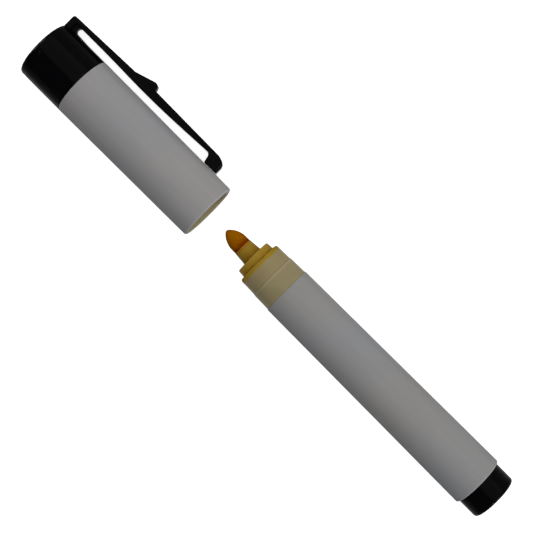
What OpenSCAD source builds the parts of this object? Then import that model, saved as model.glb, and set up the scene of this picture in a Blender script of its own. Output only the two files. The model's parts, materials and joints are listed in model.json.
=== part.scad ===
// Felt marker with a bullet nib, and its pull-off cap, which carries a small UV light and a pocket clip.
// Pen and cap lie in line on a table, the cap drawn off the nib, with the clip leaning on the table.
// Lengths are millimetres. Each piece is drawn upright on the pen's axis, with the tail's flat end at zero
// and the nib pointing up, and is then laid down so that the axis runs along X.

/* [Barrel] */
// Length of the barrel tube
barrel_length = 72.9; // [66:0.1:80]
// Outer diameter of the barrel at its tail
barrel_tail_d = 15.6; // [15.3:0.1:16]
// Outer diameter of the barrel at its front
barrel_front_d = 14.6; // [14.5:0.1:14.8]
// Wall of the barrel tube
barrel_wall = 1.1; // [1:0.05:1.2]

/* [Tail plug] */
// Length of the plug that shows behind the barrel
plug_length = 6.5; // [5:0.1:9]
// Diameter of the plug that shows
plug_d = 14.2; // [13.8:0.1:14.6]
// Rounding of the plug's outer edge
plug_round = 0.9; // [0.5:0.1:1.4]

/* [Nib and its holder] */
// Length of the holder's rear collar, which the cap's mouth closes over
collar_rear_length = 5.4; // [5:0.1:6]
// Length of the holder's front collar
collar_front_length = 5.25; // [5:0.05:6]
// Diameter of the rear collar where it meets the barrel
collar_rear_d = 14.3; // [14.1:0.1:14.3]
// Diameter of the front collar behind its rounded edge
collar_front_d = 13.8; // [13.5:0.1:13.9]
// Length of the sealing neck in front of the collars
neck_length = 2.2; // [1.8:0.1:2.6]
// Diameter of the sealing neck at its root
neck_d = 11.1; // [10.6:0.1:11.4]
// Length of the nose that grips the nib
nose_length = 3.85; // [3:0.05:4.5]
// Diameter of the nose at its root
nose_d = 6.1; // [5.8:0.1:6.4]
// Length of the nib that shows
nib_length = 6.2; // [5.5:0.1:6.6]
// Diameter of the nib
nib_d = 5.3; // [5:0.1:5.4]

/* [Cap] */
// Space between the nib's tip and the cap's mouth as they lie
cap_gap = 6.9; // [5:0.1:30]
// Length of the whole cap, mouth to light end
cap_length = 62.9; // [62.6:0.1:66]
// Outer diameter of the cap at its mouth
cap_mouth_d = 17.3; // [17.2:0.1:17.6]
// Outer diameter of the cap at its light end
cap_head_d = 17.8; // [17.7:0.1:18.2]
// Length of the dark light head
head_length = 14.7; // [14.4:0.1:15]
// Rounding of the light head's outer edge
head_round = 0.9; // [0.6:0.1:1.4]

/* [Clip] */
// Width of the clip at its root
clip_root_w = 4.8; // [4:0.1:5.4]
// Width of the clip at its foot
clip_foot_w = 4; // [3.4:0.1:4.8]
// Distance from the pen's axis to the outside of the clip's arm at its root
clip_root_reach = 12.15; // [12:0.05:12.8]
// Distance from the pen's axis to the outside of the clip's arm at its middle
clip_reach = 13.1; // [12.9:0.05:13.6]
// Distance from the pen's axis to the top of the thumb catch
catch_reach = 14.7; // [14.4:0.1:15.2]
// Width of the thumb catch
catch_w = 3.2; // [2.4:0.1:3.4]
// Distance from the cap's mouth to the clip's foot
clip_foot_at = 5.9; // [4:0.1:9]

/* [Light] */
// Diameter of a button cell
cell_d = 11.6; // [11.4:0.1:11.6]
// Height of a button cell
cell_height = 5.4; // [5.2:0.1:5.4]
// Diameter of the lamp's lens
led_d = 5; // [4.8:0.1:5]
// Diameter of the battery spring's wire
spring_wire_d = 0.5; // [0.4:0.05:0.6]

/* [Hidden] */
$fn = 96;

// Gap between pieces that turn or slide on each other, and gap of a piece that is pressed home
running = 0.05;
pressed = 0.03;
cell_count = 3;

// Stations along the pen from the flat end of the tail
barrel_z = plug_length;
collar_z = barrel_z + barrel_length;
step_z = collar_z + collar_rear_length;
neck_z = step_z + collar_front_length;
nose_z = neck_z + neck_length;
nib_z = nose_z + nose_length;
tip_z = nib_z + nib_length;
mouth_z = tip_z + cap_gap;

// Barrel, with small rounded rims and ribs that centre the reservoir
barrel_tail_r = barrel_tail_d / 2;
barrel_front_r = barrel_front_d / 2;
tail_rim_round = 0.45;
front_rim_round = 0.25;
rib_count = 4;
rib_w = 0.8;

// Tail plug: its spigot fills the barrel's bore and webs inside it stop the reservoir
plug_r = plug_d / 2;
plug_spigot = 7;
plug_spigot_end = plug_length + plug_spigot;
plug_bore_taper = (barrel_tail_r - barrel_front_r) * plug_spigot / barrel_length;
plug_spigot_r = barrel_tail_r - plug_bore_taper - barrel_wall - pressed;
plug_wall = 1.1;
plug_core_r = plug_spigot_r - plug_wall;
plug_floor = 1.5;
web_w = 0.9;
web_rise = 2;
web_top = plug_length + web_rise;
spigot_lead = 0.4;

// Nib holder, one moulding: spigot in the barrel, two collars, sealing neck and nose
collar_rear_r = collar_rear_d / 2;
collar_front_r = collar_front_d / 2;
collar_draft = 0.13;
collar_edge_round = 0.6;
neck_r = neck_d / 2;
neck_draft = 0.15;
neck_edge = 0.2;
nose_r = nose_d / 2;
nib_r = nib_d / 2;
nose_lip = 0.06;
nib_grip = 0.4;
nib_shank_r = nib_r - nib_grip;
holder_spigot = 7;
holder_spigot_r = barrel_front_r - barrel_wall - pressed;
holder_spigot_z = collar_z - holder_spigot;
holder_wall = 1.1;
holder_core_r = holder_spigot_r - holder_wall;
holder_roof = 1.3;
nib_tube_wall = 1;

// Ink reservoir in its film, from the plug's webs to the back of the nib's tube
film_room = 0.1;
film_r = holder_core_r - film_room;
film_wall = 0.12;
reservoir_r = film_r - film_wall;
reservoir_inset = 3.5;
reservoir_front = collar_z - reservoir_inset;
nib_bite = 8;
nib_back = reservoir_front - nib_bite;
nib_lead = 1.2;
nib_straight = 1.8;

// Stations along the cap from its mouth
seam_z = cap_length - head_length;
collar_room = 0.5;
skirt_step = collar_rear_length + collar_room;
seal_room = 0.35;
seal_z = collar_rear_length + collar_front_length + seal_room;
seal_end = seal_z + neck_length;
tip_room = 1.1;
inner_end = tip_z - collar_z + tip_room;
inner_floor = 1;
bulkhead_z = inner_end + inner_floor;
bulkhead = 1.2;
plate_z = bulkhead_z + bulkhead;
plate_t = 0.3;
carrier_z = plate_z + plate_t;
cells_below_seam = 0.5;
cells_top = seam_z - cells_below_seam;
cells_z = cells_top - cell_count * cell_height;
spigot_length = 5;
spigot_z = seam_z - spigot_length;

// Cap shell: a drafted tube with a bulkhead between the nib's chamber and the light's
mouth_r = cap_mouth_d / 2;
head_r = cap_head_d / 2;
shell_wall = 0.85;
shell_round = 0.7;
shell_bore_r = mouth_r - shell_wall;
light_wall = 1.05;
light_bore_r = head_r - light_wall;
seam_edge = 0.12;
snap_below_seam = 2.4;
snap_z = seam_z - snap_below_seam;
snap_depth = 0.25;
snap_w = 0.9;
stop_below_seam = 4.2;
stop_z = seam_z - stop_below_seam;
stop_w = 0.9;
stop_depth = 0.4;
stop_angle = 10;
twist_travel = 90;
stop_side = 135;

// Inner cap: a skirt that slides over the collars, a seal on the neck and a closed tube for the nib
inner_set = 0.1;
inner_lip = 0.4;
cap_ease = 0.1;
skirt_r = shell_bore_r - pressed;
skirt_rear_bore = collar_rear_r + cap_ease;
skirt_front_bore = collar_front_r + cap_ease;
skirt_web = 1.2;
skirt_end = seal_z + skirt_web;
seal_bore = neck_r + cap_ease;
seal_wall = 0.8;
nib_air = 1.2;
nib_room_r = nose_r + nib_air;
nib_room_wall = 0.9;

// Light head: the end wall, the lamp's tube inside it, and a spigot that snaps into the shell
spigot_r = light_bore_r - running;
spigot_bore_r = spigot_r - light_wall;
head_gap = 0.06;
head_edge = 0.15;
head_roof = 1.6;
head_room_r = head_r - head_roof;
end_band = 2.2;
end_draft = 0.06;
led_r = led_d / 2;
led_flange = 0.45;
led_flange_r = led_r + led_flange;
led_flange_t = 1;
led_height = 8.6;
led_recess = 0.6;
led_top = cap_length - led_recess;
led_base = led_top - led_height;
lamp_bore_r = led_r + pressed;
lamp_tube_r = lamp_bore_r + head_roof;
lamp_tube_z = led_base + led_flange_t;
bezel_depth = 1;
bezel_r = lamp_bore_r + bezel_depth;

// Clip outline, drawn as distance from the axis against distance from the cap's mouth
clip_set_in = 0.13;
clip_end = cap_length - clip_set_in;
clip_root_wall = 1.8;
clip_root_sunk = 0.6;
clip_root_in = head_r - clip_root_sunk;
clip_gap = 1.95;
clip_bow = 0.25;
clip_lift = 0.65;
clip_inside = head_r + clip_gap;
clip_waist = clip_inside - clip_bow;
clip_tip_inside = clip_inside + clip_lift;
clip_ramp_thinning = 0.18;
clip_tip_thinning = 0.28;
clip_ramp_reach = clip_reach - clip_ramp_thinning;
clip_tip_reach = clip_reach - clip_tip_thinning;
clip_bow_power = 1.6;
clip_bow_steps = 6;
clip_corner = 0.7;
gusset_w = 2.4;
gusset = 1.14;
slot_end = clip_end - clip_root_wall - gusset;
foot_clear = 0.15;
foot_in = mouth_r + (head_r - mouth_r) * clip_foot_at / seam_z + foot_clear;
foot_length = 4.4;
foot_sweep = 3.3;
foot_crown = 2.2;
foot_fillet = 1.3;
foot_slant = 13;
foot_side_round = 1.2;
foot_rise = (clip_tip_inside - foot_fillet * (1 - sin(foot_slant)) - foot_in) * tan(foot_slant);
foot_fillet_z = clip_foot_at + foot_length + foot_rise + foot_fillet * cos(foot_slant);
catch_at = 27.15;
catch_back = clip_foot_at + catch_at;
catch_length = 7.55;
catch_ramp = catch_back + catch_length;
catch_round = 1.5;
catch_top = catch_back + catch_round;

// Battery carrier, cells and contacts
carrier_room = 0.12;
carrier_r = light_bore_r - carrier_room;
carrier_bore_r = cell_d / 2 + carrier_room;
carrier_step_room = 0.4;
carrier_step = spigot_z - carrier_step_room;
carrier_top = cells_top - cell_height / 4;
carrier_neck_r = spigot_bore_r - carrier_room;
cell_can_round = 0.35;
cell_rim = 0.75;
cell_cap_r = cell_d / 2 - cell_rim;
cell_cap_height = 0.55;
cell_seal = 0.25;
strip_w = 2.4;
strip_t = 0.3;
strip_slot = 0.1;
strip_sunk = 0.45;
strip_r = carrier_r - strip_sunk;
strip_top_r = carrier_bore_r + strip_t;
strip_past_seam = 1.6;
strip_end = seam_z + strip_past_seam;
spring_foot_r = 4.4;
spring_head_r = 3;
spring_turns = 4;
spring_rings = 8;
spring_sides = 6;

// Lamp holder and its contacts, which turn with the light head
holder_t = 2.8;
holder_z = led_base - holder_t;
holder_r = spigot_bore_r - pressed;
lead_t = 0.5;
lead_pitch = 1.27;
lead_hole = 0.4;
ring_t = 0.3;
ring_z = holder_z - ring_t;
ring_in_r = 3.2;
ring_out_r = strip_top_r + strip_t;
finger_w = 2;
finger_end = strip_end + running;

// The whole lies on the table on the head's side and on the thumb catch
clip_droop = asin(head_r / norm([catch_reach, catch_w / 2])) - atan2(catch_w / 2, catch_reach);

// Points along an arc from one angle to another
function arc(cx, cy, r, from, to, steps = 8) =
    [for (i = [0:steps]) let (a = from + (to - from) * i / steps) [cx + r * cos(a), cy + r * sin(a)]];

module laid() rotate([clip_droop - 90, 0, 0]) rotate([0, 90, 0]) children();

module turned(outline) rotate_extrude() polygon(outline);

// Draws a piece of the cap at its place along the pen
module in_cap() translate([0, 0, mouth_z]) children();

// Draws a side outline, distance from the axis against height, as a slab across the clip
module slab(width, outline) rotate([90, 0, 0]) linear_extrude(width, center = true) polygon(outline);

// Tapered light grey tube of the pen
module barrel() {
    tube = concat(
        arc(barrel_tail_r - tail_rim_round, barrel_z + tail_rim_round, tail_rim_round, -90, 0),
        arc(barrel_front_r - front_rim_round, collar_z - front_rim_round, front_rim_round, 0, 90),
        [[barrel_front_r - barrel_wall, collar_z], [barrel_tail_r - barrel_wall, barrel_z]]
    );
    rib_z = plug_spigot_end + 1;
    rib_length = holder_spigot_z - 1 - rib_z;
    rib_depth = barrel_front_r - barrel_wall / 2 - film_r - pressed;
    color("#8b8b8c") {
        turned(tube);
        for (i = [0:rib_count - 1])
            rotate(i * 360 / rib_count)
                translate([film_r + pressed, -rib_w / 2, rib_z])
                    cube([rib_depth, rib_w, rib_length]);
    }
}

// Black plug pressed into the tail: a hollow cup with crossed webs in it
module tail_plug() {
    cup = concat(
        [[0, 0]],
        arc(plug_r - plug_round, plug_round, plug_round, -90, 0),
        [
            [plug_r, plug_length],
            [plug_spigot_r, plug_length],
            [plug_spigot_r, plug_spigot_end - spigot_lead],
            [plug_spigot_r - spigot_lead, plug_spigot_end],
            [plug_core_r, plug_spigot_end],
            [plug_core_r, plug_floor],
            [0, plug_floor]
        ]
    );
    web_length = 2 * plug_core_r + plug_spigot_r - plug_core_r;
    color("#0d0d0f") {
        turned(cup);
        for (a = [0, 90])
            rotate(a)
                translate([-web_length / 2, -web_w / 2, plug_floor / 2])
                    cube([web_length, web_w, web_top - plug_floor / 2]);
    }
}

// Bundle of ink-soaked fibre, hollowed where the nib's shank goes in
module ink_reservoir() {
    color("#96702a") turned([
        [0, web_top],
        [reservoir_r, web_top],
        [reservoir_r, reservoir_front],
        [nib_shank_r + pressed, reservoir_front],
        [nib_shank_r + pressed, nib_back],
        [0, nib_back]
    ]);
}

// Clear film wrapped round the reservoir
module reservoir_film() {
    color("#eee8d0", 0.6) turned([
        [reservoir_r + pressed / 2, web_top],
        [film_r, web_top],
        [film_r, reservoir_front],
        [reservoir_r + pressed / 2, reservoir_front]
    ]);
}

// Cream moulding that closes the front of the barrel and grips the nib
module nib_holder() {
    outside = concat(
        [
            [holder_core_r, holder_spigot_z],
            [holder_spigot_r - spigot_lead, holder_spigot_z],
            [holder_spigot_r, holder_spigot_z + spigot_lead],
            [holder_spigot_r, collar_z],
            [collar_rear_r, collar_z],
            [collar_rear_r - collar_draft, step_z],
            [collar_front_r, step_z + collar_draft]
        ],
        arc(collar_front_r - collar_draft - collar_edge_round, neck_z - collar_edge_round,
            collar_edge_round, 0, 90),
        [
            [neck_r, neck_z],
            [neck_r - neck_draft, nose_z - neck_edge],
            [neck_r - neck_draft - neck_edge, nose_z],
            [nose_r, nose_z],
            [nib_r + nose_lip, nib_z - nose_lip],
            [nib_r, nib_z]
        ]
    );
    inside = [
        [nib_shank_r + pressed, nib_z],
        [nib_shank_r + pressed, reservoir_front],
        [nib_shank_r + nib_tube_wall, reservoir_front],
        [nib_shank_r + nib_tube_wall, neck_z - holder_roof],
        [holder_core_r - holder_roof, neck_z - holder_roof],
        [holder_core_r, neck_z - 2 * holder_roof]
    ];
    color("#8a7c56") turned(concat(outside, inside));
}

// Bullet nib of bonded fibre: its shoulder seats on the nose and its shank runs into the reservoir
module nib() {
    ogive_z = nib_z + nib_straight;
    ogive = tip_z - ogive_z;
    ogive_r = (nib_r * nib_r + ogive * ogive) / (2 * nib_r);
    blunt_r = nib_r / 4;
    blunt_angle = acos((blunt_r + ogive_r - nib_r) / ogive_r);
    blunt_z = ogive_z + ogive_r * sin(blunt_angle);
    blunt_steps = 4;
    tip = [
        for (i = [1:blunt_steps])
            let (r = blunt_r * (1 - i / blunt_steps))
                [r, tip_z - (tip_z - blunt_z) * pow(r / blunt_r, 2)]
    ];
    color("#804e06") turned(concat(
        [
            [0, nib_back],
            [nib_shank_r - nib_grip, nib_back],
            [nib_shank_r, nib_back + nib_lead],
            [nib_shank_r, nib_z],
            [nib_r, nib_z]
        ],
        arc(nib_r - ogive_r, ogive_z, ogive_r, 0, blunt_angle, 12),
        tip
    ));
}

// Light grey tube of the cap with its inner bulkhead, a snap groove and a slot that limits the head's turn
module cap_shell() {
    outside = concat(
        [[shell_bore_r, shell_round / 6]],
        [[shell_bore_r + shell_wall - shell_round, 0]],
        arc(mouth_r - shell_round, shell_round, shell_round, -90, 0),
        [[head_r, seam_z - seam_edge], [head_r - seam_edge, seam_z]]
    );
    inside = [
        [light_bore_r, seam_z],
        [light_bore_r, snap_z + snap_w / 2],
        [light_bore_r + snap_depth, snap_z + snap_w / 2 - snap_depth],
        [light_bore_r + snap_depth, snap_z - snap_w / 2 + snap_depth],
        [light_bore_r, snap_z - snap_w / 2],
        [light_bore_r, plate_z],
        [0, plate_z],
        [0, bulkhead_z],
        [shell_bore_r, bulkhead_z]
    ];
    slot_angle = twist_travel + 3 * stop_angle;
    in_cap() color("#919192") difference() {
        turned(concat(outside, inside));
        rotate(stop_side - stop_angle)
            rotate_extrude(angle = slot_angle)
                translate([light_bore_r - stop_depth, stop_z - stop_w / 2])
                    square([2 * stop_depth, stop_w]);
    }
}

// Cream liner of the cap: it seals on the neck and keeps the nib from drying
module inner_cap() {
    tube_r = nib_room_r + nib_room_wall;
    outside = [
        [skirt_rear_bore + inner_lip / 2, inner_set],
        [skirt_r, inner_set],
        [skirt_r, skirt_end],
        [seal_bore + seal_wall, skirt_end],
        [seal_bore + seal_wall, seal_end],
        [tube_r, seal_end + seal_bore + seal_wall - tube_r],
        [tube_r, bulkhead_z - inner_floor / 2],
        [tube_r - inner_floor / 2, bulkhead_z],
        [0, bulkhead_z]
    ];
    inside = [
        [0, inner_end],
        [nib_room_r, inner_end],
        [nib_room_r, seal_end + seal_bore - nib_room_r],
        [seal_bore, seal_end],
        [seal_bore, seal_z],
        [skirt_front_bore, seal_z],
        [skirt_front_bore, skirt_step],
        [skirt_rear_bore, skirt_step - inner_lip / 2],
        [skirt_rear_bore, inner_set + inner_lip / 2]
    ];
    in_cap() color("#7f7962") turned(concat(outside, inside));
}

// Sprung contact disc on the bulkhead
module contact_plate() {
    in_cap() color("#c8a64b") difference() {
        translate([0, 0, plate_z]) cylinder(h = plate_t, r = carrier_r);
        translate([0, 0, plate_z - plate_t]) cylinder(h = 3 * plate_t, r = spring_head_r / 2);
    }
}

// Strip that takes the negative side from the disc up past the carrier to the light head
module contact_strip() {
    jog_z = carrier_step - strip_t;
    in_cap() color("#c8a64b") {
        translate([strip_r, -strip_w / 2, carrier_z])
            cube([strip_t, strip_w, jog_z + strip_t - carrier_z]);
        translate([strip_top_r, -strip_w / 2, jog_z])
            cube([strip_r + strip_t - strip_top_r, strip_w, strip_t]);
        translate([strip_top_r, -strip_w / 2, jog_z])
            cube([strip_t, strip_w, strip_end - jog_z]);
    }
}

// Cone-shaped coil spring that presses the cells against the lamp's lead
function spring_point(turn) =
    let (
        wire_r = spring_wire_d / 2 + pressed,
        part = turn / spring_turns,
        r = spring_foot_r + (spring_head_r - spring_foot_r) * part,
        low = carrier_z + wire_r,
        high = cells_z - wire_r
    )
    [r * cos(360 * turn), r * sin(360 * turn), low + (high - low) * part];

module battery_spring() {
    rings = spring_turns * spring_rings;
    points = [
        for (i = [0:rings])
            let (turn = i / spring_rings, centre = spring_point(turn))
                for (k = [0:spring_sides - 1])
                    let (a = 360 * k / spring_sides, out = cos(a) * spring_wire_d / 2)
                        centre + [out * cos(360 * turn), out * sin(360 * turn), sin(a) * spring_wire_d / 2]
    ];
    sides = [
        for (i = [0:rings - 1])
            for (k = [0:spring_sides - 1])
                let (
                    a = i * spring_sides + k,
                    b = i * spring_sides + (k + 1) % spring_sides
                )
                    each [[a, a + spring_sides, b], [b, a + spring_sides, b + spring_sides]]
    ];
    last = rings * spring_sides;
    ends = [
        for (k = [1:spring_sides - 2])
            each [[0, k, k + 1], [last, last + k + 1, last + k]]
    ];
    least_gap = min([
        for (i = [0:rings])
            for (j = [i + spring_rings / 2:rings])
                norm(spring_point(i / spring_rings) - spring_point(j / spring_rings))
    ]) - spring_wire_d;
    echo(battery_spring_least_gap = least_gap);
    in_cap() color("#b9bcc0") polyhedron(points, concat(sides, ends));
}

// Button cell: a steel can with its smaller cap facing the spring
module button_cell(index) {
    base = cells_z + index * cell_height;
    can_z = base + cell_cap_height;
    can_r = cell_d / 2;
    top = base + cell_height;
    in_cap() color("#c3c5c8") turned(concat(
        [
            [0, base],
            [cell_cap_r - cell_seal, base],
            [cell_cap_r, base + cell_seal],
            [cell_cap_r, can_z],
            [can_r - cell_can_round, can_z]
        ],
        arc(can_r - cell_can_round, can_z + cell_can_round, cell_can_round, -90, 0, 4),
        arc(can_r - cell_can_round, top - cell_can_round, cell_can_round, 0, 90, 4),
        [[0, top]]
    ));
}

// Sleeve that holds the cells in line and carries the strip in a channel down its side
module battery_carrier() {
    strip_room = strip_w + 2 * strip_slot;
    in_cap() color("#e6e4dc") difference() {
        turned([
            [carrier_bore_r, carrier_z],
            [carrier_r, carrier_z],
            [carrier_r, carrier_step],
            [carrier_neck_r, carrier_step],
            [carrier_neck_r, carrier_top],
            [carrier_bore_r, carrier_top]
        ]);
        translate([strip_r - strip_slot, -strip_room / 2, carrier_z - 1])
            cube([carrier_r, strip_room, carrier_step - carrier_z + 2]);
        translate([strip_top_r - strip_slot, -strip_room / 2, carrier_step - strip_t - strip_slot])
            cube([carrier_r, strip_room, carrier_top]);
        translate([carrier_bore_r / 2, -strip_room / 2, carrier_step - strip_t - strip_slot])
            cube([carrier_r, strip_room, carrier_top]);
    }
}

// Side outlines of the clip: its arm with end wall and foot, the thumb catch and the corner gusset
function arm_outline() = concat(
    [[clip_root_in, clip_end]],
    arc(clip_root_reach - clip_corner, clip_end - clip_corner, clip_corner, 90, 0),
    [[clip_ramp_reach, catch_ramp], [clip_reach, catch_back]],
    [
        for (a = [0:-10:-90])
            [clip_tip_reach - foot_crown * (1 - cos(a)), clip_foot_at + foot_sweep * (1 + sin(a))]
    ],
    [[foot_in, clip_foot_at], [foot_in, clip_foot_at + foot_length]],
    arc(clip_tip_inside - foot_fillet, foot_fillet_z, foot_fillet, foot_slant - 90, 0),
    [
        for (i = [clip_bow_steps - 1:-1:0])
            let (part = i / clip_bow_steps)
                [
                    clip_waist + (clip_tip_inside - clip_waist) * pow(part, clip_bow_power),
                    catch_back + (foot_fillet_z - catch_back) * part
                ]
    ],
    [
        [clip_waist, catch_ramp - catch_round],
        [clip_inside, seam_z - clip_bow],
        [clip_inside, clip_end - clip_root_wall],
        [clip_root_in, clip_end - clip_root_wall]
    ]
);

function catch_outline() =
    let (
        round_at = catch_reach - catch_round,
        out = clip_ramp_reach - round_at,
        back = catch_ramp - catch_top,
        ramp_angle = atan2(back, out) - acos(catch_round / norm([out, back]))
    )
    concat(
        [[clip_waist + clip_bow, catch_ramp], [clip_ramp_reach, catch_ramp]],
        arc(round_at, catch_top, catch_round, ramp_angle, -90),
        [[clip_waist + clip_bow, catch_back]]
    );

module clip_gusset() {
    slot_r = (clip_inside - head_r) / 2;
    rotate([90, 0, 0]) linear_extrude(gusset_w, center = true) difference() {
        translate([clip_root_in, slot_end - slot_r])
            square([clip_inside - clip_root_in, clip_end - clip_root_wall - slot_end + slot_r]);
        translate([head_r + slot_r, slot_end - slot_r]) circle(slot_r);
    }
}

// Clip as seen from outside: it tapers to a foot with rounded corners
module clip_plan() {
    root = clip_root_w / 2;
    foot = clip_foot_w / 2;
    low = clip_foot_at - 1;
    side_z = clip_foot_at + foot_side_round;
    half = concat(
        [[root, clip_end + 1], [foot, side_z]],
        arc(foot - foot_side_round, side_z, foot_side_round, 0, -50, 6)
    );
    corner = half[len(half) - 1];
    outline = concat(half, [[corner.x, low], [-corner.x, low]],
        [for (i = [len(half) - 1:-1:0]) [-half[i].x, half[i].y]]);
    rotate([90, 0, 90]) linear_extrude(catch_reach + 1) polygon(outline);
}

// Black end of the cap with its clip, one moulding that turns in the shell to switch the light
module light_head() {
    outside = concat(
        [
            [spigot_bore_r, spigot_z],
            [spigot_r - spigot_lead, spigot_z],
            [spigot_r, spigot_z + spigot_lead],
            [spigot_r, snap_z - snap_w / 2 + snap_depth / 2],
            [spigot_r + snap_depth - running, snap_z - snap_w / 2 + 1.5 * snap_depth],
            [spigot_r + snap_depth - running, snap_z + snap_w / 2 - 1.5 * snap_depth],
            [spigot_r, snap_z + snap_w / 2 - snap_depth / 2],
            [spigot_r, seam_z + head_gap],
            [head_r - head_edge, seam_z + head_gap],
            [head_r, seam_z + head_gap + head_edge],
            [head_r, cap_length - end_band]
        ],
        arc(head_r - end_draft - head_round, cap_length - head_round, head_round, 0, 90),
        [[bezel_r, cap_length], [lamp_bore_r, cap_length - bezel_depth]]
    );
    inside = [
        [lamp_bore_r, lamp_tube_z],
        [lamp_tube_r, lamp_tube_z],
        [lamp_tube_r, cap_length - head_roof],
        [head_room_r, cap_length - head_roof],
        [head_room_r, led_base],
        [spigot_bore_r, led_base]
    ];
    in_cap() color("#0d0d0f") {
        turned(concat(outside, inside));
        intersection() {
            slab(clip_root_w, arm_outline());
            clip_plan();
        }
        slab(catch_w, catch_outline());
        clip_gusset();
        rotate(stop_side)
            rotate_extrude(angle = stop_angle)
                translate([spigot_r - stop_depth, stop_z - stop_w / 2 + 2 * running])
                    square([2 * stop_depth - 2 * running, stop_w - 4 * running]);
    }
}

// Disc behind the lamp that holds its flange against the tube in the light head
module led_holder() {
    in_cap() color("#d6d6d2") difference() {
        translate([0, 0, holder_z]) cylinder(h = holder_t, r = holder_r);
        for (side = [-1, 1])
            translate([side * lead_pitch, 0, holder_z - 1]) cylinder(h = holder_t + 2, r = lead_hole);
    }
}

// Lamp: a clear domed body on a flange with one flat side
module uv_led() {
    dome_z = led_top - led_r;
    in_cap() color("#cfd0ff", 0.7) difference() {
        turned(concat(
            [
                [0, led_base],
                [led_flange_r, led_base],
                [led_flange_r, led_base + led_flange_t - pressed],
                [led_r, led_base + led_flange_t - pressed]
            ],
            arc(0, dome_z, led_r, 0, 90, 12)
        ));
        translate([-2 * led_flange_r - led_r, -led_flange_r, led_base - 1])
            cube([2 * led_flange_r, 2 * led_flange_r, led_flange_t + 1]);
    }
}

// Lamp's two leads: one bends to the axis and rests on the cells, one reaches out under the ring
module led_leads() {
    tip = cells_top + pressed;
    elbow = tip + 2 * lead_t;
    reach = ring_in_r + 2 * lead_t;
    half = lead_t / 2;
    in_cap() color("#b7b9bb") {
        translate([lead_pitch - half, -half, elbow]) cube([lead_t, lead_t, led_base - elbow]);
        translate([-half, -half, elbow]) cube([lead_pitch + lead_t, lead_t, lead_t]);
        translate([-half, -half, tip]) cube([lead_t, lead_t, elbow + lead_t - tip]);
        translate([-lead_pitch - half, -half, ring_z - lead_t])
            cube([lead_t, lead_t, led_base - ring_z + lead_t]);
        translate([-reach, -half, ring_z - lead_t]) cube([reach - lead_pitch + half, lead_t, lead_t]);
    }
}

// Contact ring under the lamp holder, with a finger that meets the strip when the head is turned on
module contact_ring() {
    in_cap() color("#c8a64b") {
        difference() {
            translate([0, 0, ring_z]) cylinder(h = ring_t, r = ring_out_r);
            translate([0, 0, ring_z - ring_t]) cylinder(h = 3 * ring_t, r = ring_in_r);
        }
        rotate(-twist_travel)
            translate([strip_top_r, -finger_w / 2, finger_end])
                cube([strip_t, finger_w, ring_z + ring_t - finger_end]);
    }
}

laid() barrel();
laid() tail_plug();
laid() ink_reservoir();
laid() reservoir_film();
laid() nib_holder();
laid() nib();
laid() cap_shell();
laid() inner_cap();
laid() contact_plate();
laid() contact_strip();
laid() battery_spring();
for (i = [0:cell_count - 1])
    laid() button_cell(i);
laid() battery_carrier();
laid() light_head();
laid() led_holder();
laid() uv_led();
laid() led_leads();
laid() contact_ring();
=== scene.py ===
import json
import math

import bmesh
import bpy
from mathutils import Matrix, Vector


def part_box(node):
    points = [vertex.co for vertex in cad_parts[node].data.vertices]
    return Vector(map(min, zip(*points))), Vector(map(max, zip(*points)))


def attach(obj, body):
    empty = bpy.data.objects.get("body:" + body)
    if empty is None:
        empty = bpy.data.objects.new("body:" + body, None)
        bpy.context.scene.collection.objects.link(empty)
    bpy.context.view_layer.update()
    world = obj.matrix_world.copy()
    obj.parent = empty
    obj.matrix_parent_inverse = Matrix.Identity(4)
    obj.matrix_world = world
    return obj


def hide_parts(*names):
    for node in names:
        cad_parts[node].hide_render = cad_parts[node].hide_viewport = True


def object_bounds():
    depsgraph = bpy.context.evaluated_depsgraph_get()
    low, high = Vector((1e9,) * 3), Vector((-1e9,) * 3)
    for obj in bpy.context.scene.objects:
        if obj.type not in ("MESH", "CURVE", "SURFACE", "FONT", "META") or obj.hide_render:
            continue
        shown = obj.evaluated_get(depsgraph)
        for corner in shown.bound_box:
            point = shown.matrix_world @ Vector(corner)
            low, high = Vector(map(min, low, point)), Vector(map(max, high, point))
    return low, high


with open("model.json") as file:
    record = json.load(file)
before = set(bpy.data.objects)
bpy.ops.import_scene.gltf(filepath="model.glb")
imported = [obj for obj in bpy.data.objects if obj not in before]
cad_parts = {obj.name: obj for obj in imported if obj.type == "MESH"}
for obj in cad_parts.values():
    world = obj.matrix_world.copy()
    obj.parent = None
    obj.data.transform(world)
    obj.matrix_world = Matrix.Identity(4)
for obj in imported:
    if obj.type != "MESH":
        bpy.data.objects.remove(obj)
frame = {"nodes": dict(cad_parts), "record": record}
cad_box = [list(corner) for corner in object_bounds()]

# Barrel: the tapered tube of the pen, moulded in light grey polypropylene with a satin skin. The nib holder
# is pressed into its front and the tail plug into its back. Four ribs inside it hold the reservoir.
MM = 0.001
WELD = 0.0005
clip_mount = next(mount for mount in frame["record"]["mounts"] if mount["name"] == "pocket_clip")
clip_way = Vector((0, clip_mount["pos_m"][1], clip_mount["pos_m"][2])).normalized()
clip_turn = Matrix.Rotation(math.atan2(-clip_way.y, clip_way.z), 3, "X")


def span(node):
    """Where a CAD node starts and ends along the pen, in millimetres from the tail."""
    low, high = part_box(node)
    return low.x / MM, high.x / MM


def round_off(shape, parts, size, segments=8, affect="VERTICES"):
    """Rounds corners or edges of a shape by a size in the shape's own units."""
    bmesh.ops.bevel(shape, geom=parts, offset=size, offset_type="OFFSET", segments=segments, profile=0.5,
                    affect=affect, material=-1, clamp_overlap=False)


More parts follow.
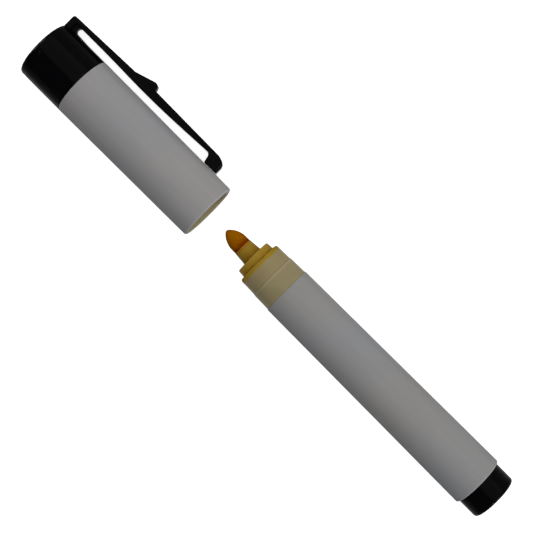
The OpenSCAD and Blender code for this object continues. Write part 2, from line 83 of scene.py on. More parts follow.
def turned(outline, rounds, steps=144):
    """Lathed solid from an outline of (station, radius) corners in millimetres. rounds holds the size of
    a corner's rounding by the corner's place in the outline."""
    shape = bmesh.new()
    corners = [shape.verts.new((station, 0.0, radius)) for station, radius in outline]
    sides = list(zip(corners, corners[1:]))
    if outline[0][1] > 0:
        sides.append((corners[-1], corners[0]))
    for start, end in sides:
        shape.edges.new((start, end))
    for place, size in rounds.items():
        round_off(shape, [corners[place]], size)
    bmesh.ops.spin(shape, geom=shape.verts[:] + shape.edges[:], cent=(0, 0, 0), axis=(1, 0, 0),
                   angle=math.tau, steps=steps, use_merge=True)
    bmesh.ops.remove_doubles(shape, verts=shape.verts[:], dist=WELD)
    bmesh.ops.recalc_face_normals(shape, faces=shape.faces[:])
    return shape


def stand_bar(shape, start, end, low, high, width, turn):
    """Adds a straight bar to a lathed shape, in millimetres: from start to end along the pen and from low to
    high off its axis, turned round the axis from the clip's side by turn in degrees."""
    bar = bmesh.ops.create_cube(shape, size=1.0)["verts"]
    bmesh.ops.scale(shape, vec=(end - start, width, high - low), verts=bar)
    bmesh.ops.translate(shape, vec=((start + end) / 2, 0.0, (low + high) / 2), verts=bar)
    spin = Matrix.Rotation(math.radians(turn), 3, "X")
    bmesh.ops.rotate(shape, cent=(0, 0, 0), matrix=spin @ clip_turn, verts=bar)


def settle(shape, name, body, node, finish, crease=35.0):
    """Turns a shape in millimetres into a piece in metres that rides on a body, in place of a CAD node where
    one is named. Edges that turn by more than crease, in degrees, stay sharp."""
    bmesh.ops.scale(shape, vec=(MM, MM, MM), verts=shape.verts[:])
    mesh = bpy.data.meshes.new(name)
    shape.to_mesh(mesh)
    shape.free()
    mesh.shade_smooth()
    mesh.set_sharp_from_angle(angle=math.radians(crease))
    mesh.materials.append(finish)
    piece = bpy.data.objects.new(name, mesh)
    bpy.context.scene.collection.objects.link(piece)
    even = piece.modifiers.new("even_shading", "WEIGHTED_NORMAL")
    even.keep_sharp = True
    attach(piece, body)
    if node:
        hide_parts(node)
    return piece


def blank_finish(name):
    """New material with its tree and its shader."""
    finish = bpy.data.materials.new(name)
    finish.use_nodes = True
    return finish, finish.node_tree, finish.node_tree.nodes["Principled BSDF"]


def tone(code):
    """Linear colour of a colour written as it is seen, #rrggbb."""
    seen = [int(code[place:place + 2], 16) / 255 for place in (1, 3, 5)]
    return [part / 12.92 if part <= 0.04045 else ((part + 0.055) / 1.055) ** 2.4 for part in seen] + [1.0]


def cloud(tree, size, stretch=(1.0, 1.0, 1.0), detail=3.0):
    """Soft random pattern over a piece, with features of a size in millimetres."""
    spot = tree.nodes.new("ShaderNodeTexCoord")
    turn = tree.nodes.new("ShaderNodeMapping")
    turn.inputs["Scale"].default_value = stretch
    noise = tree.nodes.new("ShaderNodeTexNoise")
    noise.inputs["Scale"].default_value = 1.0 / (size * MM)
    noise.inputs["Detail"].default_value = detail
    tree.links.new(spot.outputs["Object"], turn.inputs["Vector"])
    tree.links.new(turn.outputs["Vector"], noise.inputs["Vector"])
    return noise.outputs["Fac"]


def ramp(tree, value, stops):
    """Colours along a value from 0 to 1. Each stop is a place and a colour as it is seen."""
    band = tree.nodes.new("ShaderNodeValToRGB")
    steps = band.color_ramp.elements
    while len(steps) < len(stops):
        steps.new(1.0)
    for step, (place, code) in zip(steps, stops):
        step.position = place
        step.color = tone(code)
    tree.links.new(value, band.inputs["Fac"])
    return band.outputs["Color"]


def spread(tree, value, low, high, start=0.3, end=0.7):
    """Spreads the part of a pattern between start and end over low to high."""
    reach = tree.nodes.new("ShaderNodeMapRange")
    for socket, number in zip(("From Min", "From Max", "To Min", "To Max"), (start, end, low, high)):
        reach.inputs[socket].default_value = number
    tree.links.new(value, reach.inputs["Value"])
    return reach.outputs["Result"]


def reckon(tree, operation, *terms):
    """Sum in a material. Each term is a number or another node's output."""
    node = tree.nodes.new("ShaderNodeMath")
    node.operation = operation
    for socket, term in zip(node.inputs, terms):
        if isinstance(term, float):
            socket.default_value = term
        else:
            tree.links.new(term, socket)
    return node.outputs[0]


def along_pen(tree, start, end, waver=None):
    """0 to 1 between two stations along the pen in millimetres; waver shifts it by a pattern in metres."""
    spot = tree.nodes.new("ShaderNodeTexCoord")
    split = tree.nodes.new("ShaderNodeSeparateXYZ")
    tree.links.new(spot.outputs["Object"], split.inputs["Vector"])
    place = split.outputs["X"]
    if waver:
        place = reckon(tree, "ADD", place, waver)
    return spread(tree, place, 0.0, 1.0, start * MM, end * MM)


def tinted_along(tree, stops, waver=None):
    """Colours along the pen. Each stop is a station in millimetres and a colour as it is seen."""
    start, end = stops[0][0], stops[-1][0]
    places = [((station - start) / (end - start), code) for station, code in stops]
    return ramp(tree, along_pen(tree, start, end, waver), places)


def mixed(tree, mode, share, under, over):
    """Two colours put together; share is a number or a pattern."""
    mix = tree.nodes.new("ShaderNodeMix")
    mix.data_type = "RGBA"
    mix.blend_type = mode
    if isinstance(share, float):
        mix.inputs[0].default_value = share
    else:
        tree.links.new(share, mix.inputs[0])
    tree.links.new(under, mix.inputs[6])
    tree.links.new(over, mix.inputs[7])
    return mix.outputs[2]


def relief(tree, shader, height, depth):
    """Fine height on the skin, depth in millimetres."""
    bump = tree.nodes.new("ShaderNodeBump")
    bump.inputs["Strength"].default_value = 1.0
    bump.inputs["Distance"].default_value = depth * MM
    tree.links.new(height, bump.inputs["Height"])
    tree.links.new(bump.outputs["Normal"], shader.inputs["Normal"])


def satin_grey(name, patches, rim_start, rim_end):
    """Light grey moulded plastic: faint warm and cool patches, flow lines, a fine satin grain, and a rim
    painted paler, most of all at the station rim_end, a painted highlight where its rounding catches light."""
    finish, tree, shader = blank_finish(name)
    patch = ramp(tree, cloud(tree, 24.0, detail=1.0), patches)
    # Painted highlight: the rim is painted paler, as if light caught its rounding.
    rim_highlight = ramp(tree, cloud(tree, 2.0), [(0.3, "#a4a5a7"), (0.7, "#b0b0b0")])
    rim_highlight_share = tinted_along(tree, [(rim_start, "#000000"), (rim_end, "#ffffff")])
    patches_and_rim_highlight = mixed(tree, "MIX", rim_highlight_share, patch, rim_highlight)
    flow = ramp(tree, cloud(tree, 1.6, (0.08, 1.0, 1.0)), [(0.3, "#fafafa"), (0.7, "#ffffff")])
    tree.links.new(mixed(tree, "MULTIPLY", 1.0, patches_and_rim_highlight, flow), shader.inputs["Base Color"])
    grain = cloud(tree, 0.3, detail=2.0)
    tree.links.new(spread(tree, grain, 0.65, 0.75), shader.inputs["Roughness"])
    shader.inputs["Specular IOR Level"].default_value = 0.06
    relief(tree, shader, grain, 0.006)
    return finish


tail_radius, front_radius, barrel_wall = 7.8, 7.3, 1.1
tail_rim, front_rim = 0.45, 0.25
barrel_start, barrel_end = span("barrel")
barrel = turned(
    [
        (barrel_start, tail_radius - barrel_wall), (barrel_start, tail_radius),
        (barrel_end, front_radius), (barrel_end, front_radius - barrel_wall),
    ],
    {1: tail_rim, 2: front_rim})
rib_gap, rib_width = 1.0, 0.8
rib_start, rib_end = span("tail_plug")[1] + rib_gap, span("nib_holder")[0] - rib_gap
rib_in, rib_out = 5.0, front_radius - barrel_wall / 2
for turn in (0, 90, 180, 270):
    stand_bar(barrel, rib_start, rib_end, rib_in, rib_out, rib_width, turn)
barrel_patches = [(0.32, "#848688"), (0.5, "#868687"), (0.68, "#878684")]
# The barrel's tail rim is painted paler, a painted highlight.
barrel_grey = satin_grey("barrel_grey", barrel_patches, barrel_start + tail_rim, barrel_start)
settle(barrel, "barrel_tube", "pen", "barrel", barrel_grey)


# Ink reservoir: a bundle of crimped polyester fibre soaked with ochre ink, in a sleeve of clear film. It is
# out of sight in the barrel, between the plug's webs and the nib's tube, and the nib's shank runs into it.
def dress(node, finish):
    """Gives a CAD node that is shown as it is its own finish."""
    mesh = frame["nodes"][node].data
    mesh.materials.clear()
    mesh.materials.append(finish)


ink_fibre, tree, shader = blank_finish("ink_fibre")
strand = cloud(tree, 0.35, (0.03, 1.0, 1.0))
tree.links.new(ramp(tree, strand, [(0.3, "#7d5a1b"), (0.7, "#a27f3c")]), shader.inputs["Base Color"])
shader.inputs["Roughness"].default_value = 0.9
relief(tree, shader, strand, 0.08)
dress("ink_reservoir", ink_fibre)

clear_film, tree, shader = blank_finish("clear_film")
crinkle = cloud(tree, 2.5, (0.3, 1.0, 1.0))
tree.links.new(ramp(tree, crinkle, [(0.3, "#efe8d0"), (0.7, "#f6f2e2")]), shader.inputs["Base Color"])
tree.links.new(spread(tree, crinkle, 0.1, 0.25), shader.inputs["Roughness"])
shader.inputs["Transmission Weight"].default_value = 0.85
relief(tree, shader, crinkle, 0.03)
dress("reservoir_film", clear_film)

# Nib holder: the cream front moulding, polypropylene, pressed into the barrel by its spigot. Two collars
# carry the cap, the neck seals in it, and ink has stained the neck, the nose and the front collar's edge.
rear_collar, front_collar = 84.8, 84.93
collar_front, neck_front = 90.05, 92.25
spigot_back, holder_front = span("nib_holder")
spigot_radius, spigot_hollow, lead_in = 6.17, 5.07, 0.4
nib_bore, nib_tube, nib_tube_back = 2.28, 3.25, 75.9
hollow_front, hollow_cone = 88.75, 1.3
holder = turned(
    [
        (spigot_back, spigot_hollow), (spigot_back, spigot_radius - lead_in),
        (spigot_back + lead_in, spigot_radius), (barrel_end, spigot_radius),
        (barrel_end, 7.15), (rear_collar, 7.02), (front_collar, 6.9), (collar_front, 6.77),
        (collar_front, 5.55), (neck_front, 5.4), (neck_front, 3.05), (holder_front, 2.71),
        (holder_front, nib_bore), (nib_tube_back, nib_bore), (nib_tube_back, nib_tube),
        (hollow_front, nib_tube), (hollow_front, 3.78), (hollow_front - hollow_cone, spigot_hollow),
    ],
    {5: 0.05, 6: 0.05, 7: 0.6, 8: 0.25, 9: 0.25, 10: 0.15, 11: 0.06})
stained_cream, tree, shader = blank_finish("stained_cream")
stain_waver = 0.2 * MM
stain_edge = spread(tree, cloud(tree, 1.1), -stain_waver, stain_waver)
# Just behind the collar's step the cream is painted paler, a painted highlight, and the step's facet is
# painted darker, painted shade.
rear_cream, painted_step_highlight, painted_step_shade = "#897f5f", "#92886b", "#817555"
front_cream, edge_stain = "#8a7d5b", "#8b6b10"
bands = tinted_along(tree, [
    (barrel_end, "#86784a"), (barrel_end + 0.23, rear_cream), (rear_collar - 0.86, rear_cream),
    (rear_collar - 0.47, painted_step_highlight), (rear_collar - 0.12, painted_step_highlight), (rear_collar, painted_step_shade),
    (front_collar, painted_step_shade), (front_collar + 0.17, front_cream), (collar_front - 0.63, front_cream),
    # Just past the collar's front the stain turns darker, painted shade in the crease at the neck's root.
    (collar_front - 0.55, edge_stain), (collar_front - 0.06, edge_stain), (collar_front + 0.06, "#735000"),
    # The stained neck is painted paler towards its front edge, a painted highlight.
    (collar_front + 0.4, "#8c6d1c"), (neck_front - 0.07, "#987929"), (neck_front + 0.04, "#815d0c"),
    (holder_front - 1.17, "#886e22"), (holder_front, "#8c5c0c"),
])
stained = ramp(tree, cloud(tree, 3.0), [(0.3, "#937512"), (0.7, "#90721c")])
ring = tinted_along(tree, [
    (collar_front - 1.46, "#000000"), (collar_front - 0.91, "#ffffff"), (collar_front, "#ffffff"),
    (collar_front + 0.06, "#000000"),
], stain_edge)
inked = mixed(tree, "MIX", ring, bands, stained)
cast = ramp(tree, cloud(tree, 4.0), [(0.3, "#f6f6f6"), (0.7, "#ffffff")])
tree.links.new(mixed(tree, "MULTIPLY", 1.0, inked, cast), shader.inputs["Base Color"])
grain = cloud(tree, 0.25, detail=2.0)
sheen = mixed(tree, "MIX", ring, spread(tree, grain, 0.2, 0.28), spread(tree, grain, 0.65, 0.75))
tree.links.new(sheen, shader.inputs["Roughness"])
shader.inputs["Specular IOR Level"].default_value = 0.03
relief(tree, shader, grain, 0.005)
settle(holder, "front_moulding", "pen", "nib_holder", stained_cream)

# Nib: a bullet of bonded polyester fibre, ground to shape and soaked with orange-brown ink. Its shoulder
# seats on the holder's nose and its shank runs back into the reservoir.
nib_back, nib_tip = span("nib")
nib_radius, shank_radius, shank_point = 2.65, 2.25, 1.85
nose_length, tip_flat = 2.04, 0.33
nib = turned(
    [
        (nib_back, 0.0), (nib_back, shank_point), (nib_back + 1.2, shank_radius),
        (holder_front, shank_radius), (holder_front, nib_radius), (nib_tip - nose_length, nib_radius),
        (nib_tip, tip_flat), (nib_tip, 0.0),
    ],
    {5: 2.5, 6: 0.31})
inked_fibre, tree, shader = blank_finish("inked_fibre")
soak_waver = 0.3 * MM
soak_edge = spread(tree, cloud(tree, 0.8), -soak_waver, soak_waver)
# The nib's colour darkens to a reddish brown towards its base at the holder's nose.
bullet = tinted_along(tree, [
    (holder_front + 0.37, "#6a2700"), (holder_front + 1.05, "#804700"), (holder_front + 1.7, "#8a4f00"),
    (nib_tip - 1.2, "#965c00"), (nib_tip, "#935b00"),
], soak_edge)
strand = cloud(tree, 0.12, (0.12, 1.0, 1.0))
fibres = ramp(tree, strand, [(0.3, "#eeeeee"), (0.7, "#ffffff")])
tree.links.new(mixed(tree, "MULTIPLY", 1.0, bullet, fibres), shader.inputs["Base Color"])
tree.links.new(spread(tree, strand, 0.6, 0.75), shader.inputs["Roughness"])
shader.inputs["Specular IOR Level"].default_value = 0.0
relief(tree, shader, strand, 0.01)
settle(nib, "bullet_nib", "pen", "nib", inked_fibre)


# Tail plug: a black cup of glossy polystyrene pressed into the back of the barrel, with crossed webs inside
# that stop the reservoir. The mark where the plastic ran into the mould is sunk in the middle of its end.
def gloss_black(name):
    """Black moulded plastic, glossy, with faint haze, rubbed patches and specks of dust."""
    finish, tree, shader = blank_finish(name)
    haze = ramp(tree, cloud(tree, 6.0), [(0.3, "#030204"), (0.7, "#060506")])
    dust = ramp(tree, cloud(tree, 0.22, detail=1.0), [(0.0, "#000000"), (0.74, "#000000"), (0.8, "#1a1a1a")])
    tree.links.new(mixed(tree, "ADD", 1.0, haze, dust), shader.inputs["Base Color"])
    tree.links.new(spread(tree, cloud(tree, 3.0), 0.15, 0.2), shader.inputs["Roughness"])
    shader.inputs["Specular IOR Level"].default_value = 0.018
    relief(tree, shader, cloud(tree, 0.4, detail=2.0), 0.003)
    return finish


plug_radius, plug_spigot, plug_bore, plug_floor = 7.1, 6.62, 5.52, 1.5
gate_depth, gate_radius = 0.2, 1.1
plug_start, plug_end = span("tail_plug")
plug = turned(
    [
        (plug_start + gate_depth, 0.0), (plug_start + gate_depth, gate_radius), (plug_start, 1.3),
        (plug_start, plug_radius), (barrel_start, plug_radius), (barrel_start, plug_spigot),
        (plug_end - lead_in, plug_spigot), (plug_end, plug_spigot - lead_in),
        (plug_end, plug_bore), (plug_floor, plug_bore), (plug_floor, 0.0),
    ],
    {2: 0.08, 3: 0.9})
web_top = span("ink_reservoir")[0]
web_reach, web_width = 6.07, 0.9
for turn in (0, 90):
    stand_bar(plug, plug_floor / 2, web_top, -web_reach, web_reach, web_width, turn)
plug_black = gloss_black("plug_black")
settle(plug, "tail_cup", "pen", "tail_plug", plug_black)

# Cap shell: the light grey tube of the cap, polypropylene, with a rounded mouth and a bulkhead inside that
# parts the nib's chamber from the light. A groove in its far end takes the light end's snap.
mouth, seam = span("cap_shell")
mouth_radius, seam_radius = 8.65, 8.9
skirt_bore, light_bore = 7.8, 7.85
lip_depth, lip_bore = 0.117, 7.95
bulkhead_back = span("inner_cap")[1]
bulkhead_front = bulkhead_back + 1.2
snap = seam - 2.4
snap_half, groove_half, groove_radius = 0.45, 0.2, light_bore + 0.25
shell = turned(
    [
        (bulkhead_back, 0.0), (bulkhead_back, skirt_bore), (mouth + lip_depth, skirt_bore),
        (mouth, lip_bore), (mouth, mouth_radius), (seam, seam_radius), (seam, light_bore),
        (snap + snap_half, light_bore), (snap + groove_half, groove_radius),
        (snap - groove_half, groove_radius), (snap - snap_half, light_bore),
        (bulkhead_front, light_bore), (bulkhead_front, 0.0),
    ],
    {3: 0.06, 4: 0.69, 5: 0.12})
cap_patches = [(0.32, "#8d8b8a"), (0.5, "#8a8a8b"), (0.68, "#88898c")]
# The cap's mouth rim is painted paler, a painted highlight.
cap_grey = satin_grey("cap_grey", cap_patches, mouth + 0.6, mouth)
settle(shell, "cap_tube", "cap", "cap_shell", cap_grey)

# Inner cap: the cream liner, polyethylene, pressed into the shell from the mouth. Its skirt slides over the
# collars, its step seals on the neck, and its closed tube keeps the nib from drying.
rear_skirt, front_skirt, skirt_radius = 7.25, 7.0, 7.77
seal_bore, seal_radius, cone_start = 5.65, 6.45, mouth + 13.2
tube_bore, tube_radius = 4.25, 5.15
rim, seal_back, skirt_end = mouth + 0.1, mouth + 11.0, mouth + 12.2
tube_floor = bulkhead_back - 1.0
liner = turned(
    [
        (tube_floor, 0.0), (tube_floor, tube_bore), (mouth + 14.6, tube_bore), (cone_start, seal_bore),
        (seal_back, seal_bore), (seal_back, front_skirt), (mouth + 5.9, front_skirt),
        (mouth + 5.7, rear_skirt), (mouth + 0.3, rear_skirt), (rim, 7.45), (rim, skirt_radius),
        (skirt_end, skirt_radius), (skirt_end, seal_radius), (cone_start, seal_radius),
        (mouth + 14.5, tube_radius), (bulkhead_back - 0.5, tube_radius),
        (bulkhead_back, tube_radius - 0.5), (bulkhead_back, 0.0),
    ],
    {4: 0.2, 9: 0.08})
liner_cream, tree, shader = blank_finish("liner_cream")
tint = ramp(tree, cloud(tree, 5.0), [(0.3, "#a39a74"), (0.7, "#ada37d")])
tree.links.new(tint, shader.inputs["Base Color"])
grain = cloud(tree, 0.3, detail=2.0)
tree.links.new(spread(tree, grain, 0.4, 0.5), shader.inputs["Roughness"])
shader.inputs["Specular IOR Level"].default_value = 0.06
relief(tree, shader, grain, 0.005)
settle(liner, "cap_liner", "cap", "inner_cap", liner_cream)


# Contacts and spring: a stamped brass disc on the bulkhead, a brass strip up the carrier's side, and a cone
# of bright steel wire, coiled cold, that presses the cells towards the lamp. All are out of sight.
def metal(name, dull, bright, low, high):
    """Drawn or stamped metal, with fine streaks along the pen."""
    finish, tree, shader = blank_finish(name)
    streak = cloud(tree, 0.2, (0.15, 1.0, 1.0))
    tree.links.new(ramp(tree, streak, [(0.3, dull), (0.7, bright)]), shader.inputs["Base Color"])
    shader.inputs["Metallic"].default_value = 1.0
    tree.links.new(spread(tree, streak, low, high), shader.inputs["Roughness"])
    relief(tree, shader, streak, 0.002)
    return finish


stamped_brass = metal("stamped_brass", "#c39a4c", "#d8b56b", 0.25, 0.4)
dress("contact_plate", stamped_brass)
dress("contact_strip", stamped_brass)

wire_radius = 0.25
coil_foot, coil_head = 4.4, 3.0
coil_turns, steps_in_turn = 4, 36
coil_start, coil_end = span("battery_spring")
coil_rise = coil_end - coil_start - 2 * wire_radius
coil = bmesh.new()
bmesh.ops.create_circle(coil, cap_ends=True, segments=14, radius=wire_radius)
bmesh.ops.rotate(coil, verts=coil.verts[:], matrix=Matrix.Rotation(math.radians(90), 3, "X"))
bmesh.ops.translate(coil, verts=coil.verts[:], vec=(coil_start + wire_radius, 0.0, coil_foot))
bmesh.ops.spin(coil, geom=coil.verts[:] + coil.edges[:] + coil.faces[:], cent=(0, 0, 0), axis=(1, 0, 0),
               dvec=(coil_rise / (coil_turns * steps_in_turn), 0, 0), angle=math.tau * coil_turns,
               steps=coil_turns * steps_in_turn, use_merge=False)
for point in coil.verts:
    risen = (point.co.x - coil_start - wire_radius) / coil_rise
    pull = Vector((0.0, point.co.y, point.co.z)).normalized() * (coil_foot - coil_head)
    point.co -= pull * min(max(risen, 0.0), 1.0)
bmesh.ops.remove_doubles(coil, verts=coil.verts[:], dist=WELD)
bmesh.ops.holes_fill(coil, edges=[edge for edge in coil.edges if edge.is_boundary], sides=0)
bmesh.ops.recalc_face_normals(coil, faces=coil.faces[:])
bright_wire = metal("bright_wire", "#a9abae", "#c6c8ca", 0.2, 0.32)
settle(coil, "cell_spring", "cap", "battery_spring", bright_wire)

# Button cells and carrier: three cells of nickel plated steel in a sleeve of natural nylon, which slides
# into the cap from its far end and carries the brass strip in a channel. They are out of sight.
nickel_plate = metal("nickel_plate", "#b4b6b9", "#cfd1d3", 0.22, 0.34)
for cell in ("button_cell_1", "button_cell_2", "button_cell_3"):
    dress(cell, nickel_plate)

natural_nylon, tree, shader = blank_finish("natural_nylon")
tint = cloud(tree, 4.0)
tree.links.new(ramp(tree, tint, [(0.3, "#e2dfd4"), (0.7, "#eae7de")]), shader.inputs["Base Color"])
tree.links.new(spread(tree, tint, 0.4, 0.55), shader.inputs["Roughness"])
relief(tree, shader, cloud(tree, 0.3, detail=2.0), 0.005)
dress("battery_carrier", natural_nylon)

# Light end and clip: one glossy black moulding, polystyrene, that snaps into the cap's far end and turns.
# The clip's end wall, arm, narrower thumb catch and foot grow out of its side, with a web in the corner.
head_end = span("light_head")[1]
head_back, head_seam = seam - 5.0, seam + 0.06
sleeve_radius, sleeve_bore, ridge_radius = 7.8, 6.75, 8.0
ridge_foot, ridge_top = snap_half - 0.125, snap_half - 0.375
step_back, step_radius = head_end - 2.2, 8.84
face_back, chamber_back = head_end - 1.6, head_end - 9.2
chamber_bore, lamp_bore, lamp_tube, lamp_flare = 7.3, 2.53, 4.13, 1.0
lamp_tube_back = head_end - 8.2
head = turned(
    [
        (head_back, sleeve_bore), (head_back, sleeve_radius - lead_in), (head_back + lead_in, sleeve_radius),
        (snap - ridge_foot, sleeve_radius), (snap - ridge_top, ridge_radius),
        (snap + ridge_top, ridge_radius), (snap + ridge_foot, sleeve_radius), (head_seam, sleeve_radius),
        (head_seam, seam_radius), (step_back, seam_radius), (step_back, step_radius),
        (head_end, step_radius), (head_end, lamp_bore + lamp_flare), (head_end - lamp_flare, lamp_bore),
        (lamp_tube_back, lamp_bore), (lamp_tube_back, lamp_tube), (face_back, lamp_tube),
        (face_back, chamber_bore), (chamber_back, chamber_bore), (chamber_back, sleeve_bore),
    ],
    {8: 0.15, 9: 0.055, 11: 0.9, 12: 0.12, 13: 0.1})


def side_cut(outline, rounds, width, soft):
    """Slab with a side outline of (distance from the mouth, distance from the axis) corners, standing on
    the clip's side of the cap. Its long edges are rounded by soft."""
    slab = bmesh.new()
    corners = [slab.verts.new((mouth + station, -width / 2, reach)) for station, reach in outline]
    for start, end in zip(corners, corners[1:] + corners[:1]):
        slab.edges.new((start, end))
    for place, size in rounds.items():
        round_off(slab, [corners[place]], size)
    near = bmesh.ops.contextual_create(slab, geom=slab.edges[:])["faces"]
    far = bmesh.ops.extrude_face_region(slab, geom=near, use_keep_orig=True)["geom"]
    moved = [part for part in far if isinstance(part, bmesh.types.BMVert)]
    bmesh.ops.translate(slab, verts=moved, vec=(0.0, width, 0.0))
    bmesh.ops.recalc_face_normals(slab, faces=slab.faces[:])
    rims = [edge for edge in slab.edges if abs(edge.verts[0].co.y - edge.verts[1].co.y) < width / 2]
    round_off(slab, rims, soft, segments=4, affect="EDGES")
    return slab


def cut_across(slab, stations):
    """Cuts a slab across at stations in millimetres from the mouth, so that it can be tapered."""
    for station in stations:
        bmesh.ops.bisect_plane(slab, geom=slab.verts[:] + slab.edges[:] + slab.faces[:], dist=WELD,
                               plane_co=(mouth + station, 0, 0), plane_no=(1, 0, 0))


def grow_on(body, extra):
    """Turns a slab to the clip's side and adds it to a body."""
    bmesh.ops.rotate(extra, verts=extra.verts[:], matrix=clip_turn)
    bmesh.ops.recalc_face_normals(extra, faces=extra.faces[:])
    carrier = bpy.data.meshes.new("carrier")
    extra.to_mesh(carrier)
    extra.free()
    body.from_mesh(carrier)
    bpy.data.meshes.remove(carrier)


clip_end, root_in = 62.77, 8.3
wall_in = clip_end - 1.8
arm_in, arm_waist, bow = 10.85, 10.6, 2.4
foot_start, foot_in, hook = 5.9, 8.76, 11.5
catch_start, catch_end, catch_foot, catch_top = 33.05, 40.6, 12.92, 15.26
root_width, foot_width, catch_width, web_thickness = 4.8, 4.0, 3.2, 2.4
arm = side_cut(
    [
        (clip_end, root_in), (clip_end, 12.15), (catch_end, catch_foot), (catch_start, 13.1), (7.75, 12.82),
        (foot_start, hook), (foot_start, foot_in), (10.3, foot_in), (10.92, hook), (17.3, 11.17),
        (22.5, 10.9), (27.8, 10.7), (catch_start, arm_waist), (39.1, arm_waist), (47.9, arm_in),
        (wall_in, arm_in), (wall_in, root_in),
    ],
    {1: 0.7, 2: 1.5, 3: 1.5, 4: 1.13, 5: 0.86, 6: 0.15, 7: 0.15, 8: 1.03, 9: bow, 10: bow, 11: bow,
     12: bow, 13: bow, 14: bow},
    root_width, 0.3)
foot_cuts, arm_cuts = (6.05, 6.2, 6.35, 6.5, 6.7, 6.9, 7.1, 9, 12), range(16, 61, 4)
cut_across(arm, foot_cuts)
cut_across(arm, arm_cuts)
foot_round, foot_flat = 1.2, 6.18
for point in arm.verts:
    station = point.co.x - mouth
    taper = (station - foot_flat) / (clip_end - foot_flat)
    half = (foot_width + (root_width - foot_width) * taper) / 2
    inside_round = max(foot_start + foot_round - max(station, foot_flat), 0.0)
    half -= foot_round - math.sqrt(foot_round ** 2 - inside_round ** 2)
    point.co.y *= half / (root_width / 2)
grow_on(head, arm)
catch = side_cut(
    [(catch_end, arm_in), (catch_end, catch_foot), (catch_start, catch_top), (catch_start, arm_in)],
    {2: 2.04}, catch_width, 0.25)
grow_on(head, catch)
slot_end, slot_round, slot_in = 59.6, 0.9, 9.07
web_start, overlap = slot_end - 4.4, 0.2
web = side_cut(
    [
        (web_start, root_in), (web_start, seam_radius), (slot_end - slot_round, slot_in), (slot_end, slot_in),
        (slot_end, arm_in), (slot_end - slot_round, arm_in), (slot_end - slot_round, arm_in + overlap),
        (wall_in + overlap, arm_in + overlap), (wall_in + overlap, root_in),
    ],
    {3: 0.85, 4: 0.85}, web_thickness, 0.02)
grow_on(head, web)
head_black = gloss_black("head_black")
settle(head, "light_end", "light", "light_head", head_black, 28.0)

# Lamp: a 5 mm lamp of clear violet-tinted resin cast round a cup and two posts of tinned iron. Its flange is
# clamped between the light end's tube and a nylon disc, through which its leads reach the cells and the ring.
lamp_start, lamp_end = span("uv_led")
lamp_radius, flange_radius, flange_top = 2.5, 2.95, lamp_start + 0.97
lamp = turned(
    [
        (lamp_start, 0.0), (lamp_start, flange_radius), (flange_top, flange_radius),
        (flange_top, lamp_radius), (lamp_end, lamp_radius), (lamp_end, 0.0),
    ],
    {1: 0.1, 2: 0.1, 4: 2.498}, 96)
clear_resin, tree, shader = blank_finish("clear_resin")
shader.inputs["Base Color"].default_value = tone("#dcdcff")
shader.inputs["Transmission Weight"].default_value = 1.0
shader.inputs["IOR"].default_value = 1.5
tree.links.new(spread(tree, cloud(tree, 1.0), 0.02, 0.07), shader.inputs["Roughness"])
settle(lamp, "lamp_dome", "light", "uv_led", clear_resin)

tinned_iron = metal("tinned_iron", "#b0b1b3", "#c9cacc", 0.25, 0.38)
cup_back, cup_floor, cup_rim = lamp_start + 4.1, lamp_start + 4.4, lamp_start + 4.9
cup = turned(
    [
        (cup_back, 0.0), (cup_back, 0.75), (cup_rim, 1.0), (cup_rim, 0.85), (cup_floor, 0.5),
        (cup_floor, 0.0),
    ],
    {}, 48)
post_foot, post_width = 0.3, 0.5
for offset, top in ((0.35, 4.2), (-1.27, 4.6)):
    post = bmesh.ops.create_cube(cup, size=1.0)["verts"]
    bmesh.ops.scale(cup, vec=(top - post_foot, post_width, post_width), verts=post)
    post_middle = lamp_start + post_foot + (top - post_foot) / 2
    bmesh.ops.translate(cup, verts=post, vec=(post_middle, 0.0, offset))
settle(cup, "lamp_cup", "light", None, tinned_iron)
dress("led_leads", tinned_iron)
dress("led_holder", natural_nylon)
dress("contact_ring", stamped_brass)

# Studio: a white round floor whose rim sweeps up into a low wall, so the pen lies on plain white from any
# side. It is not part of the pen. The camera sees it lifted to white, and gloss and glass see it lifted less.
floor_height = cad_box[0][2]
floor_radius, wall_height, sweep_round = 2.6, 1.3, 0.6
lift_to_camera, lift_to_gloss = 0.82, 0.35
sweep = bmesh.new()
run = [sweep.verts.new((reach, 0.0, floor_height + rise))
       for reach, rise in ((0.0, 0.0), (floor_radius, 0.0), (floor_radius, wall_height))]
for start, end in zip(run, run[1:]):
    sweep.edges.new((start, end))
round_off(sweep, [run[1]], sweep_round, segments=12)
bmesh.ops.spin(sweep, geom=sweep.verts[:] + sweep.edges[:], cent=(0, 0, 0), axis=(0, 0, 1),
               angle=math.tau, steps=72, use_merge=True)
bmesh.ops.remove_doubles(sweep, verts=sweep.verts[:], dist=WELD * MM)
bmesh.ops.recalc_face_normals(sweep, faces=sweep.faces[:])
sweep_mesh = bpy.data.meshes.new("studio_sweep")
sweep.to_mesh(sweep_mesh)
sweep.free()
sweep_mesh.shade_smooth()
studio = bpy.data.objects.new("studio_sweep", sweep_mesh)
bpy.context.scene.collection.objects.link(studio)
paper = bpy.data.materials.new("white_paper")
paper.use_nodes = True
tree = paper.node_tree
tree.nodes.clear()
matt = tree.nodes.new("ShaderNodeBsdfDiffuse")
matt.inputs["Color"].default_value = (0.8, 0.8, 0.8, 1.0)
lift = tree.nodes.new("ShaderNodeEmission")
seen_by = tree.nodes.new("ShaderNodeLightPath")
by_gloss, by_glass = seen_by.outputs["Is Glossy Ray"], seen_by.outputs["Is Transmission Ray"]
lesser = reckon(tree, "MULTIPLY", reckon(tree, "MAXIMUM", by_gloss, by_glass), lift_to_gloss)
level = reckon(tree, "MULTIPLY_ADD", seen_by.outputs["Is Camera Ray"], lift_to_camera, lesser)
tree.links.new(level, lift.inputs["Strength"])
both = tree.nodes.new("ShaderNodeAddShader")
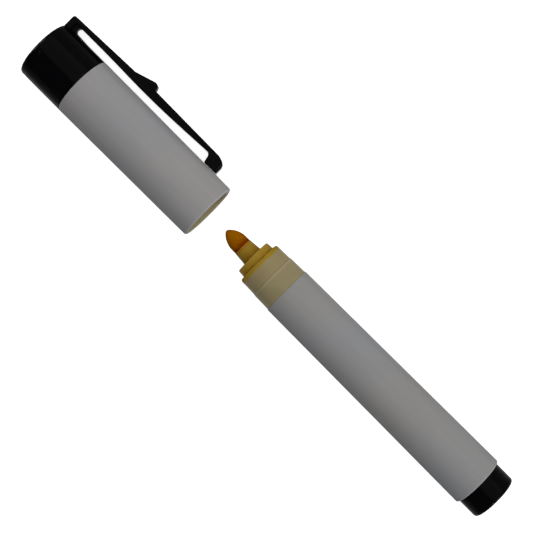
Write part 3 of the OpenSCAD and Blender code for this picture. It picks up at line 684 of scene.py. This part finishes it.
tree.links.new(matt.outputs[0], both.inputs[0])
tree.links.new(lift.outputs[0], both.inputs[1])
output = tree.nodes.new("ShaderNodeOutputMaterial")
tree.links.new(both.outputs[0], output.inputs["Surface"])
sweep_mesh.materials.append(paper)

# Camera: it looks square on to the pen from the side that shows the clip edge on, turned so that the pen
# runs from corner to corner. The clip's mount gives the way the clip leans, and the lens is shifted a little.
along = Vector((1, 0, 0))
eye_way = clip_way.cross(along)
photo_pixels = 533
metres_per_pixel = 0.00027
camera_away, sensor_mm = 0.42, 36.0
aim_station, aim_side, frame_middle = 0.0743, 0.0008, 0.0878
aim = along * aim_station + clip_way * aim_side
right = (clip_way - along).normalized()
up = (clip_way + along).normalized()
camera_data = bpy.data.cameras.new("photo_camera")
camera_data.sensor_fit = "HORIZONTAL"
camera_data.sensor_width = sensor_mm
camera_data.lens = sensor_mm * camera_away / (photo_pixels * metres_per_pixel)
camera_data.clip_start = 0.01
framing = (frame_middle - aim_station) / (photo_pixels * metres_per_pixel)
camera_data.shift_x = framing * along.dot(right)
camera_data.shift_y = framing * along.dot(up)
camera = bpy.data.objects.new("photo_camera", camera_data)
bpy.context.scene.collection.objects.link(camera)
camera.matrix_world = Matrix.Translation(aim + eye_way * camera_away) @ Matrix(
    (right, up, eye_way)).transposed().to_4x4()
bpy.context.scene.camera = camera


# Light: one large soft lamp over the clip's side of the pen, a pair of small ones towards each end that only
# draw the fine glints on the edges, and an even dim room.
def lamp_at(name, way, away, size, energy, colour):
    """Square lamp in a direction from the pen, facing it and out of the camera's sight."""
    data = bpy.data.lights.new(name, "AREA")
    data.shape = "SQUARE"
    data.size = size
    data.energy = energy
    data.color = colour
    source = bpy.data.objects.new(name, data)
    bpy.context.scene.collection.objects.link(source)
    source.location = aim + way.normalized() * away
    source.rotation_mode = "QUATERNION"
    source.rotation_quaternion = way.to_track_quat("Z", "Y")
    source.visible_camera = False
    return source


key_tilt = math.radians(22)
key_way = eye_way * math.cos(key_tilt) + clip_way * math.sin(key_tilt)
lamp_at("soft_key", key_way, away=1.2, size=1.5, energy=13.6, colour=(1.0, 0.99, 0.975))
glint_tilt = math.radians(66)
for end, end_way, energy in (("head", along, 12.0), ("tail", -along, 5.0)):
    for place, side in (("near", 0.14), ("far", -0.23)):
        glint_way = eye_way * math.cos(glint_tilt) + end_way * math.sin(glint_tilt) + clip_way * side
        glint = lamp_at(f"glint_{end}_{place}", glint_way, away=1.0, size=0.25, energy=energy,
                        colour=(1.0, 1.0, 1.0))
        glint.visible_diffuse = False
room = bpy.data.worlds.new("dim_room")
bpy.context.scene.world = room
room.use_nodes = True
room.node_tree.nodes["Background"].inputs["Color"].default_value = (0.975, 0.99, 1.025, 1.0)
room.node_tree.nodes["Background"].inputs["Strength"].default_value = 0.36
bpy.context.scene.view_settings.view_transform = "Standard"
